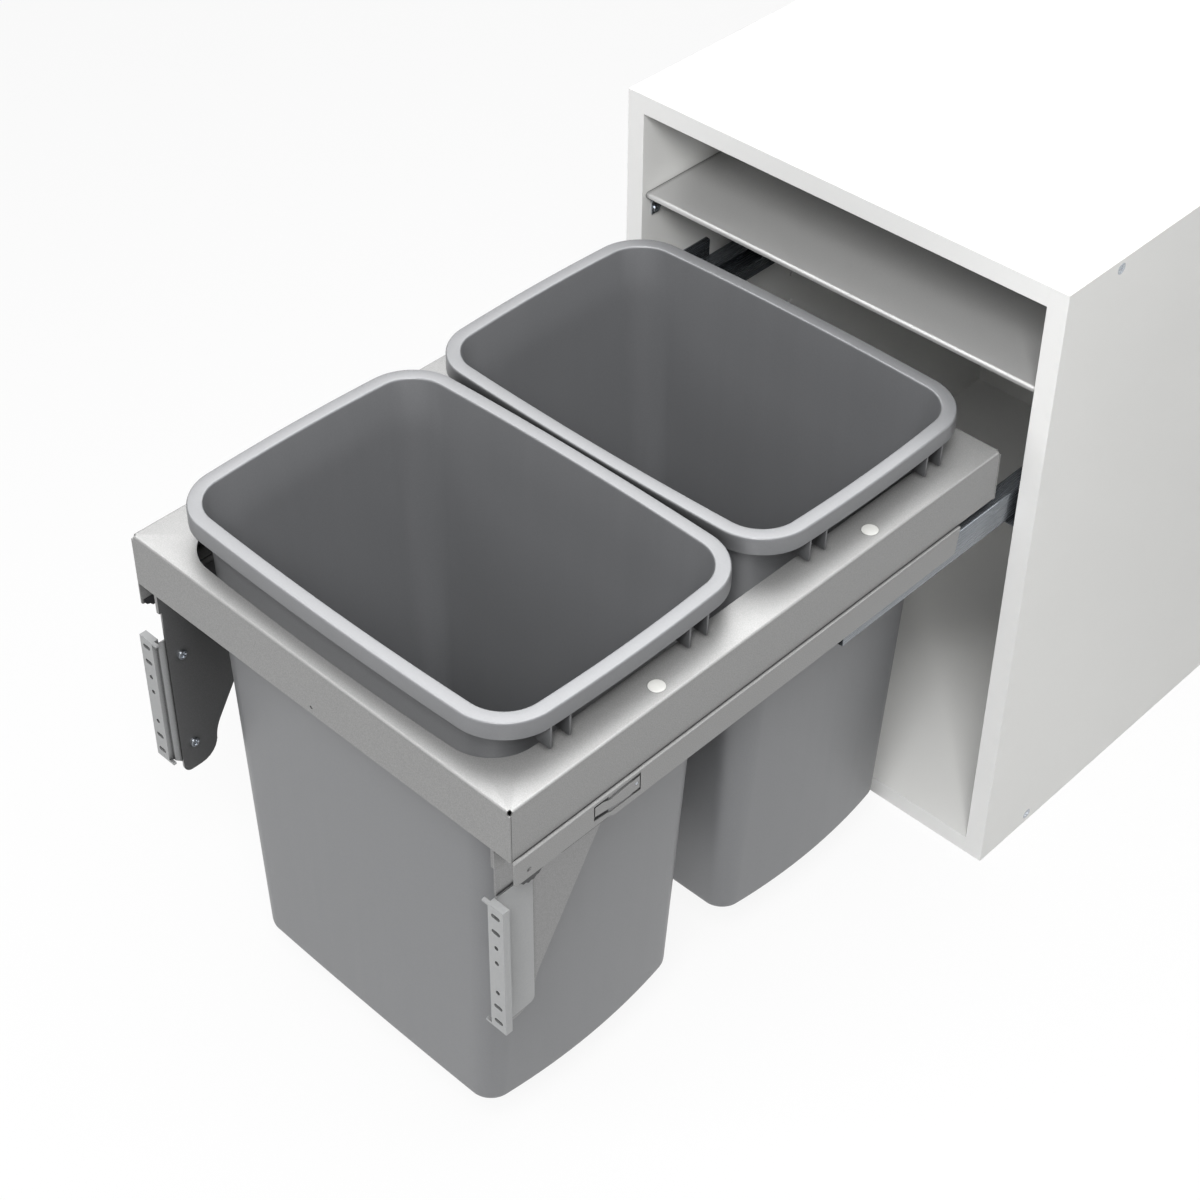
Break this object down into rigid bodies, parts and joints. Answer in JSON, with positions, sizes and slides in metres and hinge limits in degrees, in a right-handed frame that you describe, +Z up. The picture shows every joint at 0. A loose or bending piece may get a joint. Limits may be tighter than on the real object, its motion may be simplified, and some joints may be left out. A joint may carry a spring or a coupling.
{
  "type": "pull out trash cabinet",
  "caption": "White base cabinet with a steel tray frame on over-extending runners that carries two tapered grey waste bins under a cover shelf.",
  "frame": {"origin": "centre of the cabinet's underside", "axes": "+X to the right seen from the front, +Y into the cabinet, +Z up; the drawer is pulled out towards -Y"},
  "size_m": [0.45, 1.173, 0.62],
  "materials": {
    "white_board": "white melamine faced chipboard, satin",
    "silver_sheet": "sheet steel, silver powder coat, fine satin",
    "zinc_steel": "zinc plated steel, bright",
    "fixing_steel": "zinc plated screws and rivets",
    "pale_plastic": "moulded plastic, pale grey, matt",
    "bin_plastic": "moulded polypropylene, mid grey, fine matt grain",
    "dark_plastic": "moulded plastic, black, matt",
    "white_plastic": "moulded plastic, white, satin"
  },
  "bodies": {
    "cabinet": {"side_panel_left": "white_board", "side_panel_right": "white_board", "top_panel": "white_board", "bottom_panel": "white_board", "back_panel": "white_board", "carcass_screws": "fixing_steel", "cover_shelf": "silver_sheet", "shelf_brackets_left": "zinc_steel", "shelf_brackets_right": "zinc_steel", "shelf_screws": "fixing_steel", "cabinet_rail_left": "zinc_steel", "cabinet_rail_right": "zinc_steel", "rail_screws": "fixing_steel"},
    "drawer": {"tray_frame": "silver_sheet", "tray_rivets": "fixing_steel", "tray_plugs": "white_plastic", "drawer_rail_left": "silver_sheet", "drawer_rail_right": "silver_sheet", "catch_pins": "fixing_steel", "front_bracket_left": "silver_sheet", "front_bracket_right": "silver_sheet", "bracket_rivets": "fixing_steel", "door_adapter_left": "pale_plastic", "door_adapter_right": "pale_plastic", "adapter_screws": "fixing_steel", "front_bin": "bin_plastic", "rear_bin": "bin_plastic"},
    "middle_left": {"middle_rail_left": "zinc_steel"},
    "lower_rollers_left": {"lower_cage_left": "dark_plastic", "lower_rollers_left": "white_plastic"},
    "upper_rollers_left": {"upper_cage_left": "dark_plastic", "upper_rollers_left": "white_plastic"},
    "catch_left": {"release_catch_left": "silver_sheet", "release_grip_left": "dark_plastic"},
    "middle_right": {"middle_rail_right": "zinc_steel"},
    "lower_rollers_right": {"lower_cage_right": "dark_plastic", "lower_rollers_right": "white_plastic"},
    "upper_rollers_right": {"upper_cage_right": "dark_plastic", "upper_rollers_right": "white_plastic"},
    "catch_right": {"release_catch_right": "silver_sheet", "release_grip_right": "dark_plastic"}
  },
  "joints": [
    {"name": "drawer_slide", "type": "slide", "parent": "cabinet", "child": "drawer", "axis": [0, 1, 0], "range_m": [0, 0.572]},
    {"name": "middle_slide_left", "type": "slide", "parent": "cabinet", "child": "middle_left", "axis": [0, 1, 0], "range_m": [0, 0.286]},
    {"name": "lower_rollers_slide_left", "type": "slide", "parent": "cabinet", "child": "lower_rollers_left", "axis": [0, 1, 0], "range_m": [0, 0.143]},
    {"name": "upper_rollers_slide_left", "type": "slide", "parent": "cabinet", "child": "upper_rollers_left", "axis": [0, 1, 0], "range_m": [0, 0.429]},
    {"name": "middle_slide_right", "type": "slide", "parent": "cabinet", "child": "middle_right", "axis": [0, 1, 0], "range_m": [0, 0.286]},
    {"name": "lower_rollers_slide_right", "type": "slide", "parent": "cabinet", "child": "lower_rollers_right", "axis": [0, 1, 0], "range_m": [0, 0.143]},
    {"name": "upper_rollers_slide_right", "type": "slide", "parent": "cabinet", "child": "upper_rollers_right", "axis": [0, 1, 0], "range_m": [0, 0.429]},
    {"name": "catch_hinge_left", "type": "hinge", "parent": "drawer", "child": "catch_left", "pos_m": [-0.2044, -0.7448, 0.41795], "axis": [1, 0, 0], "range_deg": [0, 4]},
    {"name": "catch_hinge_right", "type": "hinge", "parent": "drawer", "child": "catch_right", "pos_m": [0.2044, -0.7448, 0.41795], "axis": [1, 0, 0], "range_deg": [0, 4]}
  ],
  "couplings": [
    {"joint": "middle_slide_left", "follows": "drawer_slide", "ratio": 0.5},
    {"joint": "lower_rollers_slide_left", "follows": "drawer_slide", "ratio": 0.25},
    {"joint": "upper_rollers_slide_left", "follows": "drawer_slide", "ratio": 0.75},
    {"joint": "middle_slide_right", "follows": "drawer_slide", "ratio": 0.5},
    {"joint": "lower_rollers_slide_right", "follows": "drawer_slide", "ratio": 0.25},
    {"joint": "upper_rollers_slide_right", "follows": "drawer_slide", "ratio": 0.75}
  ]
}
